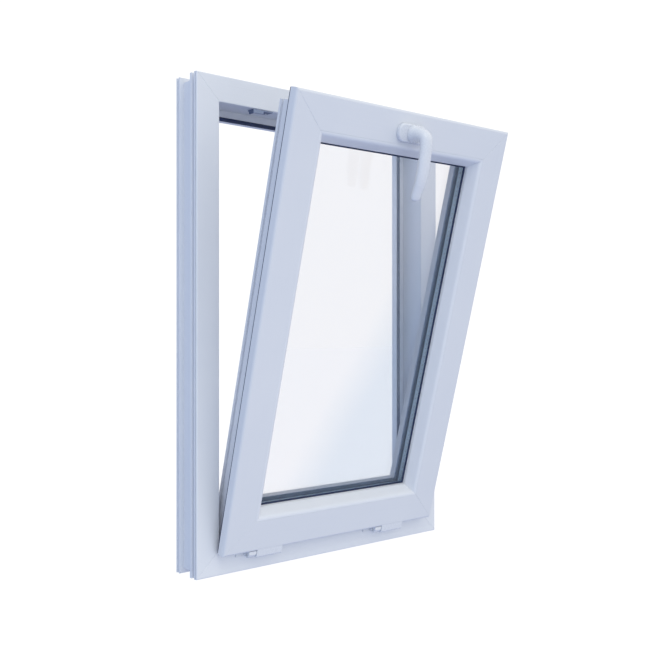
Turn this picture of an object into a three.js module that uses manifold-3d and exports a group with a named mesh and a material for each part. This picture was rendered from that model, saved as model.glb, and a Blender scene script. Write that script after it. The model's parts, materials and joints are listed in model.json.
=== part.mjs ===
// Bottom-hung PVC window: an outer frame, a sash that tilts inwards on two hinges along its
// bottom edge, a sealed double-glazed unit, and a handle that drives a locking rod in the top
// rail. Millimetres, +Z up, +X to the right seen from the room, +Y towards the outside.
// The origin is the middle of the rib under the sill that the window stands on.
//
// Every profile is drawn across its length in two numbers: "inward", measured from the outer
// edge of its own rectangle towards the middle of the window, and "depth", measured from the
// room face of the outer frame towards the outside.
import * as THREE from 'three'
import { mergeVertices } from 'three/addons/utils/BufferGeometryUtils.js'
import Module from 'manifold-3d'

const wasm = await Module()
wasm.setup()

// ---- Driving dimensions -------------------------------------------------------------------

const FRAME_WIDTH = 610
const FRAME_HEIGHT = 900
const FRAME_DEPTH = 70
const FRAME_FACE = 48 // width of the frame's room face
const FRAME_LIP = 68 // width of the frame's outdoor face
const FRAME_LIP_DEPTH = 54 // depth at which the outdoor lip starts
const RIB_START = 17
const RIB_END = 23
const RIB_CENTRE = (RIB_START + RIB_END) / 2

const OVERLAP = 8 // the sash lip covers this much of the frame's face
const SASH_INSET = FRAME_FACE - OVERLAP
const SASH_WIDTH = FRAME_WIDTH - 2 * SASH_INSET
const SASH_HEIGHT = FRAME_HEIGHT - 2 * SASH_INSET
const SASH_FRONT = -21.5
const LIP_BACK = -3.5
const SASH_BACK = 48.5
const SASH_EDGE = 20 // inward distance of the sash's rebate edge, 12 from the frame's
const GLAZING_EDGE = 60 // inward distance where the bead starts
const SIGHT_LINE = 80 // inward distance where the clear glass starts
const GLASS_EDGE = 65
const PANE = 4
const GLASS_INNER = 6.5
const GLASS_OUTER = 30.5
const GLASS_CAVITY = [GLASS_INNER + PANE, GLASS_OUTER - PANE]
const OUTER_GLAZING_LIP = 34

const OPEN_ANGLE = 15.1 // degrees, the sash resting open against the hinge stops
const HINGE_AXIS = { depth: -13, height: 32.5 }
const HINGE_LENGTH = 90
const HINGE_STARTS = { left: -223, right: 90 }

const GROOVE_CENTRE = 9.5 // depth of the middle of the hardware groove
const HANDLE_INWARD = 38
const LOCK_TRAVEL = 18
const CAM_PLACES = { left: -150, right: 150 } // cams stand here while unlocked

const GAP = 0.3 // clearance left between pieces that touch
const MITRE_GAP = { frame: 0.1, sash: 0.2 }

// ---- Materials ----------------------------------------------------------------------------

const material = (color, roughness, metalness = 0) =>
  new THREE.MeshStandardMaterial({ color, roughness, metalness })

const pvc = material(0xe3e8f2, 0.35)
const rubber = material(0x1b2130, 0.7)
const steel = material(0xa9adb3, 0.45, 0.9)
const zincPlated = material(0xb9bcc0, 0.35, 0.95)
const spacerMetal = material(0x9fb0c8, 0.4, 0.8)
const sealantBlack = material(0x15181f, 0.8)
const handleWhite = material(0xeef0f4, 0.3)
const blockPlastic = material(0x3c66a8, 0.5)
const glass = new THREE.MeshStandardMaterial({
  color: 0xe6f0f4, roughness: 0.03, metalness: 0, transparent: true, opacity: 0.3
})

// ---- Shape helpers ------------------------------------------------------------------------

// Turns [x, y, radius] corners into an outline whose corners are rounded by short arcs.
function roundedOutline(corners, steps = 4) {
  const outline = []
  corners.forEach(([x, y, radius = 0], index) => {
    const corner = new THREE.Vector2(x, y)
    if (radius === 0) {
      outline.push(corner)
      return
    }
    const before = corners.at(index - 1)
    const after = corners[(index + 1) % corners.length]
    const toBefore = new THREE.Vector2(before[0], before[1]).sub(corner).normalize()
    const toAfter = new THREE.Vector2(after[0], after[1]).sub(corner).normalize()
    const halfAngle = Math.acos(toBefore.dot(toAfter)) / 2
    const centre = toBefore.clone().add(toAfter).normalize()
      .multiplyScalar(radius / Math.sin(halfAngle)).add(corner)
    const start = corner.clone().addScaledVector(toBefore, radius / Math.tan(halfAngle)).sub(centre)
    const end = corner.clone().addScaledVector(toAfter, radius / Math.tan(halfAngle)).sub(centre)
    const turn = Math.atan2(start.cross(end), start.dot(end))
    for (let step = 0; step <= steps; step += 1) {
      outline.push(start.clone().rotateAround(new THREE.Vector2(), (turn * step) / steps).add(centre))
    }
  })
  return outline
}

const rectangle = (x0, x1, y0, y1) => [[x0, y0], [x1, y0], [x1, y1], [x0, y1]]

function extruded(corners, depth, holes = []) {
  const shape = new THREE.Shape(roundedOutline(corners))
  shape.holes = holes.map((hole) => new THREE.Path(roundedOutline(hole)))
  return new THREE.ExtrudeGeometry(shape, { depth, bevelEnabled: false, curveSegments: 16 })
}

// A straight bar along X with 45 degree ends. Inward becomes +Z and depth stays +Y.
function mitredBar(length, corners, holes, endGap) {
  const geometry = extruded(corners, 1, holes)
  const position = geometry.attributes.position
  for (let index = 0; index < position.count; index += 1) {
    const inward = position.getX(index)
    const depth = position.getY(index)
    const along = 0.5 - position.getZ(index)
    position.setXYZ(index, along * (length - 2 * (inward + endGap)), depth, inward)
  }
  return geometry
}

// Four mitred bars around a rectangle whose lower edge lies at height "base".
function barsAround(width, height, base, corners, holes, endGap) {
  const bar = (length, turn, x, z) =>
    mitredBar(length, corners, holes, endGap).rotateY(turn).translate(x, 0, z)
  return {
    bottom: bar(width, 0, 0, base),
    top: bar(width, Math.PI, 0, base + height),
    left: bar(height, Math.PI / 2, -width / 2, base + height / 2),
    right: bar(height, -Math.PI / 2, width / 2, base + height / 2)
  }
}

// One continuous ring of the same section around a rectangle, with mitred corners.
function ringAround(width, height, base, corners) {
  const outline = roundedOutline(corners)
  if (THREE.ShapeUtils.isClockWise(outline)) outline.reverse()
  const turns = [[-1, -1], [1, -1], [1, 1], [-1, 1]]
  const vertices = turns.flatMap(([sideX, sideZ]) => outline.flatMap((point) => [
    sideX * (width / 2 - point.x), point.y, base + height / 2 + sideZ * (height / 2 - point.x)
  ]))
  const count = outline.length
  const triangles = []
  for (let turn = 0; turn < 4; turn += 1) {
    const here = turn * count
    const there = ((turn + 1) % 4) * count
    for (let point = 0; point < count; point += 1) {
      const next = (point + 1) % count
      triangles.push(here + point, there + point, there + next)
      triangles.push(here + point, there + next, here + next)
    }
  }
  return fromArrays(vertices, triangles)
}

function fromArrays(vertices, triangles) {
  const geometry = new THREE.BufferGeometry()
  geometry.setAttribute('position', new THREE.Float32BufferAttribute(vertices, 3))
  geometry.setIndex(triangles)
  return geometry
}

const box = (x0, x1, y0, y1, z0, z1) =>
  new THREE.BoxGeometry(x1 - x0, y1 - y0, z1 - z0)
    .translate((x0 + x1) / 2, (y0 + y1) / 2, (z0 + z1) / 2)

// Round bars along each axis, given by their ends.
const roundX = (radius, x0, x1, y, z, sides = 24) =>
  new THREE.CylinderGeometry(radius, radius, x1 - x0, sides)
    .rotateZ(Math.PI / 2).translate((x0 + x1) / 2, y, z)
const roundY = (radius, y0, y1, x, z, sides = 24) =>
  new THREE.CylinderGeometry(radius, radius, y1 - y0, sides).translate(x, (y0 + y1) / 2, z)
const roundZ = (radius, z0, z1, x, y, sides = 24) =>
  new THREE.CylinderGeometry(radius, radius, z1 - z0, sides)
    .rotateX(Math.PI / 2).translate(x, y, (z0 + z1) / 2)

function toSolid(geometry) {
  const plain = geometry.clone()
  plain.deleteAttribute('normal')
  plain.deleteAttribute('uv')
  const merged = mergeVertices(plain, 1e-4)
  return new wasm.Manifold(new wasm.Mesh({
    numProp: 3,
    vertProperties: new Float32Array(merged.attributes.position.array),
    triVerts: new Uint32Array(merged.index.array)
  }))
}

function toGeometry(solid) {
  const result = solid.getMesh()
  return fromArrays(Array.from(result.vertProperties), Array.from(result.triVerts))
}

const joined = (first, ...others) =>
  toGeometry(others.reduce((solid, other) => solid.add(toSolid(other)), toSolid(first)))
const cut = (body, ...tools) =>
  toGeometry(tools.reduce((solid, tool) => solid.subtract(toSolid(tool)), toSolid(body)))

// ---- Assembly groups ----------------------------------------------------------------------

const window = new THREE.Group()
window.position.y = -RIB_CENTRE

// The sash is drawn closed and turned about the hinge axis to its open place.
const sash = new THREE.Group()
sash.position.set(0, HINGE_AXIS.depth, HINGE_AXIS.height)
sash.rotation.x = THREE.MathUtils.degToRad(OPEN_ANGLE)
window.add(sash)

function addTo(group, name, geometry, look) {
  const mesh = new THREE.Mesh(geometry, look)
  mesh.name = name
  if (group === sash) mesh.position.set(0, -HINGE_AXIS.depth, -HINGE_AXIS.height)
  group.add(mesh)
}

const addToFrame = (name, geometry, look) => addTo(window, name, geometry, look)
const addToSash = (name, geometry, look) => addTo(sash, name, geometry, look)
const SIDES = ['left', 'right']

// ---- Outer frame --------------------------------------------------------------------------

const frameOutline = [
  [0, 0, 2.5], [FRAME_FACE, 0, 2], [FRAME_FACE, FRAME_LIP_DEPTH],
  [62, FRAME_LIP_DEPTH], [62, FRAME_LIP_DEPTH + 3.5], [65, FRAME_LIP_DEPTH + 3.5],
  [65, FRAME_LIP_DEPTH], [FRAME_LIP, FRAME_LIP_DEPTH],
  [FRAME_LIP, FRAME_DEPTH, 3], [0, FRAME_DEPTH, 1],
  // wall side: back lip with a shallow slot, wide channel, rib, fixing slot and front lip
  [0, 67], [2, 67], [2, 62], [0, 62], [0, 58], [9, 58], [9, RIB_END],
  [0, RIB_END], [0, RIB_START], [4, RIB_START], [4, 9], [0, 9], [0, 5.5], [2, 5.5], [2, 3.5], [0, 3.5]
]
const frameChambers = [
  rectangle(12, 45, 11, 47), // main chamber, holds the steel
  rectangle(12, 45, 49, 67),
  rectangle(48, 59, 57, 67),
  rectangle(7, 45, 3, 7.5)
]
const frameBars = barsAround(
  FRAME_WIDTH, FRAME_HEIGHT, 0, frameOutline, frameChambers, MITRE_GAP.frame)

// Two drain slots run through the sill's outdoor face, each behind its cap.
const DRAIN_PLACES = { left: -170, right: 170 }
const DRAIN_HEIGHT = 30
const drainSlot = (x) =>
  box(x - 14, x + 14, 64, FRAME_DEPTH + 1, DRAIN_HEIGHT - 1.8, DRAIN_HEIGHT + 1.8)
const frameScrewHole = (x) => roundZ(1.9, FRAME_FACE - 4, FRAME_FACE + 1, x, 10, 12)

// ---- Hinges -------------------------------------------------------------------------------

const { depth: axisDepth, height: axisHeight } = HINGE_AXIS
const KNUCKLE_RADIUS = 6
const PIN_RADIUS = 3
const LEAF_THICKNESS = 2.2
const SASH_KNUCKLE_START = 33 // measured along the hinge from its left end
const KNUCKLE_GAP = 0.6
const REBATE = FRAME_FACE // height of the sill's rebate floor

// The nose is a flat beside the knuckle that the sash lip comes down on when fully open.
function stopNose(x0, x1) {
  const slope = THREE.MathUtils.degToRad(OPEN_ANGLE)
  const reach = SASH_INSET - axisHeight - GAP
  const onFlat = (along) => [
    -along * Math.cos(slope) - reach * Math.sin(slope),
    reach * Math.cos(slope) - along * Math.sin(slope)
  ]
  const nose = extruded([onFlat(-1), onFlat(6.5), [-8, -1, 1], [0, -3]], x1 - x0)
  // drawn in depth and height, then stood along X
  return nose.rotateX(Math.PI / 2).rotateZ(Math.PI / 2).translate(x0, axisDepth, axisHeight)
}

function hingeParts(side) {
  const start = HINGE_STARTS[side]
  const knuckleEnd = start + SASH_KNUCKLE_START - KNUCKLE_GAP
  const knuckleStart = knuckleEnd - 16
  const sashStart = start + SASH_KNUCKLE_START
  const sashEnd = start + HINGE_LENGTH
  const leafFront = -GAP - LEAF_THICKNESS
  const screwPlaces = [start + 8, start + 24]

  const frameLeaf = cut(
    joined(
      roundX(KNUCKLE_RADIUS, knuckleStart, knuckleEnd, axisDepth, axisHeight),
      stopNose(knuckleStart, knuckleEnd),
      box(knuckleStart, knuckleEnd, axisDepth, leafFront + 0.5, axisHeight - 4, axisHeight + 2),
      box(start, knuckleEnd, leafFront, -GAP, axisHeight - 5, REBATE + GAP + LEAF_THICKNESS),
      box(start, knuckleEnd, leafFront, 19, REBATE + GAP, REBATE + GAP + LEAF_THICKNESS)
    ),
    roundX(PIN_RADIUS + GAP, knuckleStart - 1, knuckleEnd + 1, axisDepth, axisHeight),
    ...screwPlaces.map((x) => roundZ(2.3, REBATE, REBATE + 4, x, 10, 16))
  )
  addToFrame(`hinge_frame_leaf_${side}`, frameLeaf, handleWhite)
  screwPlaces.forEach((x, index) => {
    const head = roundZ(3.6, REBATE + LEAF_THICKNESS + 2 * GAP, REBATE + LEAF_THICKNESS + 2.4, x, 10, 16)
    const shank = roundZ(1.6, REBATE - 3.5, REBATE + LEAF_THICKNESS + 1, x, 10, 12)
    addToFrame(`hinge_screw_${side}_${index + 1}`, joined(head, shank), zincPlated)
  })

  const blockTop = SASH_INSET - GAP
  const sashLeaf = cut(
    extruded([
      [axisDepth - 8.2, axisHeight - 6.5, 4], [axisDepth + 6.5, axisHeight - 6.5, 4],
      [axisDepth + 6.5, blockTop, 0.8], [axisDepth - 8.2, blockTop, 0.8]
    ], sashEnd - sashStart).rotateX(Math.PI / 2).rotateZ(Math.PI / 2).translate(sashStart, 0, 0),
    roundX(PIN_RADIUS + GAP, sashStart - 1, sashEnd + 1, axisDepth, axisHeight)
  )
  addToSash(`hinge_sash_leaf_${side}`, sashLeaf, handleWhite)
  const pin = roundX(PIN_RADIUS, knuckleStart + 0.5, sashEnd - 0.5, axisDepth, axisHeight)
  addToSash(`hinge_pin_${side}`, pin, zincPlated)
}

// ---- Frame pieces -------------------------------------------------------------------------

const hingeScrewHoles = SIDES.flatMap((side) =>
  [8, 24].map((offset) => frameScrewHole(HINGE_STARTS[side] + offset)))
addToFrame('frame_sill',
  cut(frameBars.bottom, ...SIDES.map((side) => drainSlot(DRAIN_PLACES[side])), ...hingeScrewHoles),
  pvc)
addToFrame('frame_head', frameBars.top, pvc)
addToFrame('frame_jamb_left', frameBars.left, pvc)
addToFrame('frame_jamb_right', frameBars.right, pvc)

// Galvanised channels slid into the main chambers, cut short of the welded corners.
const STEEL_WALL = 1.5
const channel = (x0, x1, y0, y1) => [
  [x0, y0], [x1, y0], [x1, y1], [x0, y1],
  [x0, y1 - STEEL_WALL], [x1 - STEEL_WALL, y1 - STEEL_WALL],
  [x1 - STEEL_WALL, y0 + STEEL_WALL], [x0, y0 + STEEL_WALL]
]
const frameSteel = barsAround(
  FRAME_WIDTH, FRAME_HEIGHT, 0, channel(13, 42, 12, 46), [], 12)
addToFrame('frame_steel_sill', frameSteel.bottom, steel)
addToFrame('frame_steel_head', frameSteel.top, steel)
addToFrame('frame_steel_left', frameSteel.left, steel)
addToFrame('frame_steel_right', frameSteel.right, steel)

const SEAL_FRONT = SASH_BACK + GAP + 0.2
const frameSealOutline = [
  [62 + GAP, FRAME_LIP_DEPTH + 3.5 - GAP], [62 + GAP, FRAME_LIP_DEPTH - GAP],
  [61, FRAME_LIP_DEPTH - GAP], [61, SEAL_FRONT + 1.5, 1], [65, SEAL_FRONT, 1.5],
  [FRAME_LIP + 1, SEAL_FRONT + 1, 1.2], [FRAME_LIP + 1, FRAME_LIP_DEPTH - GAP, 0.8],
  [65 - GAP, FRAME_LIP_DEPTH - GAP], [65 - GAP, FRAME_LIP_DEPTH + 3.5 - GAP]
]
addToFrame('frame_seal', ringAround(FRAME_WIDTH, FRAME_HEIGHT, 0, frameSealOutline), rubber)

for (const side of SIDES) {
  const x = DRAIN_PLACES[side]
  const cap = cut(
    extruded([
      [x - 18, DRAIN_HEIGHT - 6, 5], [x + 18, DRAIN_HEIGHT - 6, 5],
      [x + 18, DRAIN_HEIGHT + 6, 5], [x - 18, DRAIN_HEIGHT + 6, 5]
    ], 5).rotateX(Math.PI / 2).translate(0, FRAME_DEPTH + GAP + 5, 0),
    box(x - 15.5, x + 15.5, FRAME_DEPTH, FRAME_DEPTH + 3.8, DRAIN_HEIGHT - 7, DRAIN_HEIGHT + 4)
  )
  addToFrame(`drain_cap_${side}`, cap, pvc)
}

// A keep on the head hooks behind each cam: closed on its left half, open on its right half.
const HEAD_REBATE = FRAME_HEIGHT - FRAME_FACE
for (const side of SIDES) {
  const centre = CAM_PLACES[side] - LOCK_TRAVEL / 2
  const plateTop = HEAD_REBATE - GAP
  const plateBottom = plateTop - 2
  const screwPlaces = [centre - 16, centre + 16]
  const keep = cut(
    joined(
      box(centre - 22, centre + 22, 1.5, 20, plateBottom, plateTop),
      box(centre - 22, centre + 1, 1.5, 4.8, 844.2, plateBottom + 0.5),
      box(centre - 22, centre - 19, 1.5, 17, 844.2, plateBottom + 0.5)
    ),
    ...screwPlaces.map((x) => roundZ(2.3, plateBottom - 1, plateTop + 1, x, 17, 16))
  )
  addToFrame(`lock_keep_${side}`, keep, zincPlated)
  screwPlaces.forEach((x, index) => {
    const head = roundZ(2.9, plateBottom - 1.6, plateBottom - GAP, x, 17, 16)
    const shank = roundZ(1.5, plateBottom - 1, HEAD_REBATE - GAP, x, 17, 12)
    addToFrame(`keep_screw_${side}_${index + 1}`, joined(head, shank), zincPlated)
  })
}

SIDES.forEach(hingeParts)

// ---- Sash profiles ------------------------------------------------------------------------

const GROOVE = { front: 1.5, back: 17.5, floor: 23, rodFront: 3.5, rodBack: 15.5, rodFloor: 30 }
const sashOutline = [
  [0, SASH_FRONT, 6], [GLAZING_EDGE, SASH_FRONT, 1],
  [GLAZING_EDGE, -7], [GLAZING_EDGE - 3, -7], [GLAZING_EDGE - 3, -3], [GLAZING_EDGE, -3],
  [GLAZING_EDGE, OUTER_GLAZING_LIP], [SIGHT_LINE, OUTER_GLAZING_LIP, 1],
  [SIGHT_LINE, SASH_BACK, 3], [SASH_EDGE, SASH_BACK, 1],
  // outer edge: rear flange, thin groove, hardware groove and the lip
  [SASH_EDGE, 42.5], [SASH_EDGE + 4, 42.5], [SASH_EDGE + 4, 37], [SASH_EDGE, 37],
  [SASH_EDGE, GROOVE.back], [GROOVE.floor, GROOVE.back], [GROOVE.floor, GROOVE.rodBack],
  [GROOVE.rodFloor, GROOVE.rodBack], [GROOVE.rodFloor, GROOVE.rodFront],
  [GROOVE.floor, GROOVE.rodFront], [GROOVE.floor, GROOVE.front], [SASH_EDGE, GROOVE.front],
  [SASH_EDGE, LIP_BACK], [6, LIP_BACK], [6, LIP_BACK - 3], [3, LIP_BACK - 3], [3, LIP_BACK],
  [0, LIP_BACK, 1]
]
const sashChambers = [
  rectangle(33, 55.5, -16, 31), // main chamber, holds the steel and the gearbox
  rectangle(5.5, 30, -18.5, -9.5),
  rectangle(27, 30.5, 18.5, 45),
  rectangle(36, 76, 37, 45.5)
]
const sashBars = barsAround(
  SASH_WIDTH, SASH_HEIGHT, SASH_INSET, sashOutline, sashChambers, MITRE_GAP.sash)
const sashTop = SASH_INSET + SASH_HEIGHT
const handleHeight = sashTop - HANDLE_INWARD
const HANDLE_SCREWS = [-21.5, 21.5]
const GEARBOX = { halfLength: 28, inner: 51, outer: GROOVE.rodFloor - 4.6, halfWidth: 5 }

addToSash('sash_top_rail',
  cut(sashBars.top,
    box(-GEARBOX.halfLength - 1, GEARBOX.halfLength + 1, GROOVE.rodFront + 0.2, GROOVE.rodBack - 0.2,
      sashTop - 34, sashTop - GROOVE.rodFloor + 1),
    roundY(8, SASH_FRONT - 1, -15, 0, handleHeight),
    ...HANDLE_SCREWS.map((x) => roundY(3, SASH_FRONT - 1, -15, x, handleHeight, 16))),
  pvc)
addToSash('sash_bottom_rail', sashBars.bottom, pvc)
addToSash('sash_stile_left', sashBars.left, pvc)
addToSash('sash_stile_right', sashBars.right, pvc)

const sashSteel = barsAround(
  SASH_WIDTH, SASH_HEIGHT, SASH_INSET, channel(34, 54.5, -15, 30), [], 14)
addToSash('sash_steel_top',
  cut(sashSteel.top,
    roundY(8, -16, -12, 0, handleHeight),
    ...HANDLE_SCREWS.map((x) => roundY(3, -16, -12, x, handleHeight, 16))),
  steel)
addToSash('sash_steel_bottom', sashSteel.bottom, steel)
addToSash('sash_steel_left', sashSteel.left, steel)
addToSash('sash_steel_right', sashSteel.right, steel)

// The sash seal is notched where the hinge leaves pass behind the lip.
const sashSealOutline = [
  [3 + GAP, LIP_BACK - 3 + GAP], [6 - GAP, LIP_BACK - 3 + GAP], [6 - GAP, LIP_BACK + GAP],
  [7.5, LIP_BACK + GAP], [7, -GAP - 0.2, 1], [1, -GAP - 0.2, 1.2], [0.6, LIP_BACK + GAP],
  [3 + GAP, LIP_BACK + GAP]
]
const sealNotch = (side) => box(
  HINGE_STARTS[side] - 1, HINGE_STARTS[side] + SASH_KNUCKLE_START + 1,
  LIP_BACK + 0.1, 1, SASH_INSET - 1, SASH_INSET + 9)
addToSash('sash_seal',
  cut(ringAround(SASH_WIDTH, SASH_HEIGHT, SASH_INSET, sashSealOutline), ...SIDES.map(sealNotch)),
  rubber)

// ---- Glazing ------------------------------------------------------------------------------

const BEAD_BACK = GLASS_INNER - 3
const beadOutline = [
  [GLAZING_EDGE + GAP, SASH_FRONT + 0.7, 0.6], [GLAZING_EDGE + 4, SASH_FRONT + 0.7, 3],
  [SIGHT_LINE - 1, 1, 1.5], [SIGHT_LINE - 1, BEAD_BACK], [GLAZING_EDGE + GAP, BEAD_BACK],
  // the foot that snaps into the sash
  [GLAZING_EDGE + GAP, -3 - GAP], [GLAZING_EDGE - 3 + 2 * GAP, -3 - GAP],
  [GLAZING_EDGE - 3 + 2 * GAP, -7 + GAP], [GLAZING_EDGE + GAP, -7 + GAP]
]
const beadChamber = [[GLAZING_EDGE + 2.2, -15], [GLAZING_EDGE + 5, -15], [SIGHT_LINE - 5, 0.5],
  [GLAZING_EDGE + 2.2, 0.5]]
const beads = barsAround(
  SASH_WIDTH, SASH_HEIGHT, SASH_INSET, beadOutline, [beadChamber], MITRE_GAP.sash)
addToSash('glazing_bead_top', beads.top, pvc)
addToSash('glazing_bead_bottom', beads.bottom, pvc)
addToSash('glazing_bead_left', beads.left, pvc)
addToSash('glazing_bead_right', beads.right, pvc)

const sashRing = (corners) => ringAround(SASH_WIDTH, SASH_HEIGHT, SASH_INSET, corners)
addToSash('glazing_seal_inner', sashRing([
  [SIGHT_LINE - 8, BEAD_BACK + GAP], [SIGHT_LINE, BEAD_BACK + GAP, 0.6],
  [SIGHT_LINE + 0.6, GLASS_INNER - GAP], [SIGHT_LINE - 8, GLASS_INNER - GAP]
]), rubber)
addToSash('glazing_seal_outer', sashRing([
  [SIGHT_LINE - 10, GLASS_OUTER + GAP], [SIGHT_LINE + 1, GLASS_OUTER + GAP],
  [SIGHT_LINE + 0.5, OUTER_GLAZING_LIP - GAP, 0.6], [SIGHT_LINE - 10, OUTER_GLAZING_LIP - GAP]
]), rubber)

const glassWidth = SASH_WIDTH - 2 * GLASS_EDGE
const glassBase = SASH_INSET + GLASS_EDGE
const glassTop = sashTop - GLASS_EDGE
const pane = (front) =>
  box(-glassWidth / 2, glassWidth / 2, front, front + PANE, glassBase, glassTop)
addToSash('glass_pane_inner', pane(GLASS_INNER), glass)
addToSash('glass_pane_outer', pane(GLASS_CAVITY[1]), glass)
const cavityFront = GLASS_CAVITY[0] + GAP
const cavityBack = GLASS_CAVITY[1] - GAP
const SPACER_OUTER = GLASS_EDGE + 3.5
addToSash('glass_spacer', sashRing([
  [SPACER_OUTER, cavityFront], [SPACER_OUTER + 6.5, cavityFront],
  [SPACER_OUTER + 6.5, cavityBack], [SPACER_OUTER, cavityBack]
]), spacerMetal)
addToSash('glass_edge_sealant', sashRing([
  [GLASS_EDGE + 0.2, cavityFront], [SPACER_OUTER - GAP, cavityFront],
  [SPACER_OUTER - GAP, cavityBack], [GLASS_EDGE + 0.2, cavityBack]
]), sealantBlack)

const BLOCK_PLACES = { left: -130, right: 130 }
for (const side of SIDES) {
  const x = BLOCK_PLACES[side]
  const blockBase = SASH_INSET + GLAZING_EDGE + GAP
  addToSash(`setting_block_${side}`,
    box(x - 40, x + 40, GLASS_INNER, GLASS_OUTER, blockBase, glassBase - GAP), blockPlastic)
}

// ---- Locking rod --------------------------------------------------------------------------

// A steel faceplate closes the groove in the sash's top edge. The rod slides under it and
// carries two cams, whose stems come up through slots.
const FACEPLATE_HALF = 215
const faceplateTop = sashTop - SASH_EDGE - 0.2
const faceplateBottom = faceplateTop - 2.4
const CAM_STEM = 2.5
const camSlot = (x) => {
  const half = CAM_STEM + 0.7
  return box(x - LOCK_TRAVEL - half, x + half, GROOVE_CENTRE - half, GROOVE_CENTRE + half,
    faceplateBottom - 1, faceplateTop + 1)
}
addToSash('lock_faceplate',
  cut(
    box(-FACEPLATE_HALF, FACEPLATE_HALF, GROOVE.front + GAP, GROOVE.back - GAP,
      faceplateBottom, faceplateTop),
    ...SIDES.map((side) => camSlot(CAM_PLACES[side]))),
  zincPlated)

const rodTop = faceplateBottom - GAP
addToSash('lock_rod',
  box(-180, 180 + LOCK_TRAVEL, GROOVE_CENTRE - 5, GROOVE_CENTRE + 5, rodTop - 2, rodTop), steel)
for (const side of SIDES) {
  const x = CAM_PLACES[side]
  addToSash(`lock_cam_${side}`,
    joined(
      roundZ(CAM_STEM, rodTop + GAP, faceplateTop + 2, x, GROOVE_CENTRE, 16),
      roundZ(4, faceplateTop + GAP, faceplateTop + 7.4, x, GROOVE_CENTRE)),
    zincPlated)
}

const gearboxTop = rodTop - 2 - GAP
addToSash('lock_gearbox',
  cut(
    box(-GEARBOX.halfLength, GEARBOX.halfLength, GROOVE_CENTRE - GEARBOX.halfWidth,
      GROOVE_CENTRE + GEARBOX.halfWidth, sashTop - GEARBOX.inner, gearboxTop),
    roundY(5.4, 0, 20, 0, handleHeight),
    ...HANDLE_SCREWS.map((x) => roundY(2.8, 0, 20, x, handleHeight, 16))),
  zincPlated)

// ---- Handle -------------------------------------------------------------------------------

// The handle's plate lies along the rail: a base screwed through to the gearbox, and a cover
// that hides the screws. The lever turns in front of them and turns the square spindle.
const COVER_FRONT = SASH_FRONT - 8
const plateOutline = (halfLength, halfHeight) => [
  [-halfLength, handleHeight - halfHeight, halfHeight - 1.5],
  [halfLength, handleHeight - halfHeight, halfHeight - 1.5],
  [halfLength, handleHeight + halfHeight, halfHeight - 1.5],
  [-halfLength, handleHeight + halfHeight, halfHeight - 1.5]
]
const plateSlab = (halfLength, halfHeight, back, front) =>
  extruded(plateOutline(halfLength, halfHeight), back - front).rotateX(Math.PI / 2).translate(0, back, 0)

const baseFront = SASH_FRONT - GAP - 3
addToSash('handle_base',
  cut(plateSlab(31.5, 13, SASH_FRONT - GAP, baseFront),
    roundY(7, baseFront - 1, SASH_FRONT + 1, 0, handleHeight),
    ...HANDLE_SCREWS.map((x) => roundY(2.8, baseFront - 1, SASH_FRONT + 1, x, handleHeight, 16))),
  zincPlated)

const coverShape = new THREE.Shape(roundedOutline(plateOutline(35 - 2.5, 16.5 - 2.5), 6))
const coverGeometry = new THREE.ExtrudeGeometry(coverShape, {
  depth: 8 - GAP - 2.5, bevelEnabled: true, bevelThickness: 2.5, bevelSize: 2.5, bevelSegments: 3,
  bevelOffset: 0, steps: 1
}).rotateX(Math.PI / 2).translate(0, SASH_FRONT - GAP, 0)
addToSash('handle_cover',
  cut(coverGeometry,
    box(-60, 60, SASH_FRONT - GAP, SASH_FRONT + 6, handleHeight - 40, handleHeight + 40),
    plateSlab(32, 13.5, SASH_FRONT + 1, SASH_FRONT - 6.3),
    roundY(8, COVER_FRONT - 1, SASH_FRONT, 0, handleHeight)),
  handleWhite)

HANDLE_SCREWS.forEach((x, index) => {
  const head = roundY(4, baseFront - 2, baseFront - GAP, x, handleHeight, 16)
  const shank = roundY(2.4, baseFront - 1, GROOVE_CENTRE + 4, x, handleHeight, 12)
  addToSash(`handle_screw_${SIDES[index]}`, joined(head, shank), zincPlated)
})

// The lever is a chain of oval sections along a curve that leaves the plate, bends down and
// comes back towards the glass at its tip.
const LEVER_SIDES = 24
const leverPath = new THREE.CatmullRomCurve3([
  [COVER_FRONT - GAP, 0], [-40, 0], [-51.5, -0.8], [-60, -4.5], [-65, -14], [-67.8, -34],
  [-69.3, -56], [-68, -80], [-64, -100], [-61, -115]
].map(([depth, height]) => new THREE.Vector3(0, depth, handleHeight + height)), false, 'centripetal')
const LEVER_SECTIONS = [ // place along the lever, half width across X, half thickness
  [0, 16, 16], [0.03, 15.6, 15.6], [0.07, 13.6, 13.6], [0.14, 12.8, 12.6], [0.24, 12.5, 10.8],
  [0.34, 12.6, 9.2], [0.5, 13, 8.6], [0.7, 12.6, 8.2], [0.88, 11.2, 7.4], [0.96, 10, 6.6],
  [0.985, 8, 5], [1, 4.5, 2.6]
]

function sectionAt(place) {
  const after = LEVER_SECTIONS.findIndex(([at]) => at >= place)
  if (after === 0) return LEVER_SECTIONS[0].slice(1)
  const [from, ...low] = LEVER_SECTIONS[after - 1]
  const [to, ...high] = LEVER_SECTIONS[after]
  const share = (place - from) / (to - from)
  return low.map((value, axis) => value + (high[axis] - value) * share)
}

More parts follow.
